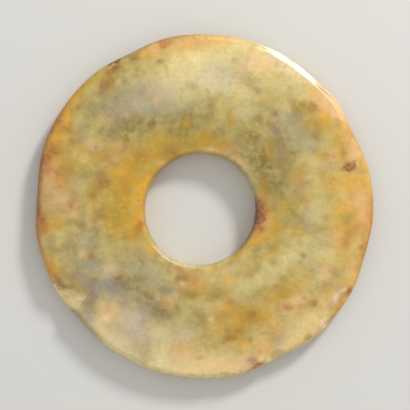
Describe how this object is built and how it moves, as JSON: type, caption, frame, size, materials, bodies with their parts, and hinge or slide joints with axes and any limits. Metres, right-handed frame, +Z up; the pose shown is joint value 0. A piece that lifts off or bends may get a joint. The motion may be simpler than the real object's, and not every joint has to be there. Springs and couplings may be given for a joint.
{
  "type": "jade bi disc",
  "caption": "Flat ring of mottled yellow-green nephrite with a central hole, thinned to a rounded, worn and chipped rim.",
  "frame": {"origin": "on the ground under the middle of the disc's outline; the hole's centre is about 1.8 mm to -X and 1.3 mm to -Y of it", "axes": "+Z up, through the hole and across the thickness, with the disc lying on its underside; +Y towards the rim's pale, bright side"},
  "size_m": [0.129, 0.1316, 0.0096],
  "materials": {
    "nephrite": "yellow-green nephrite with russet stains and pale weathering, waxy polish"
  },
  "bodies": {
    "root": {"jade_bi_disc": "nephrite"}
  },
  "joints": []
}
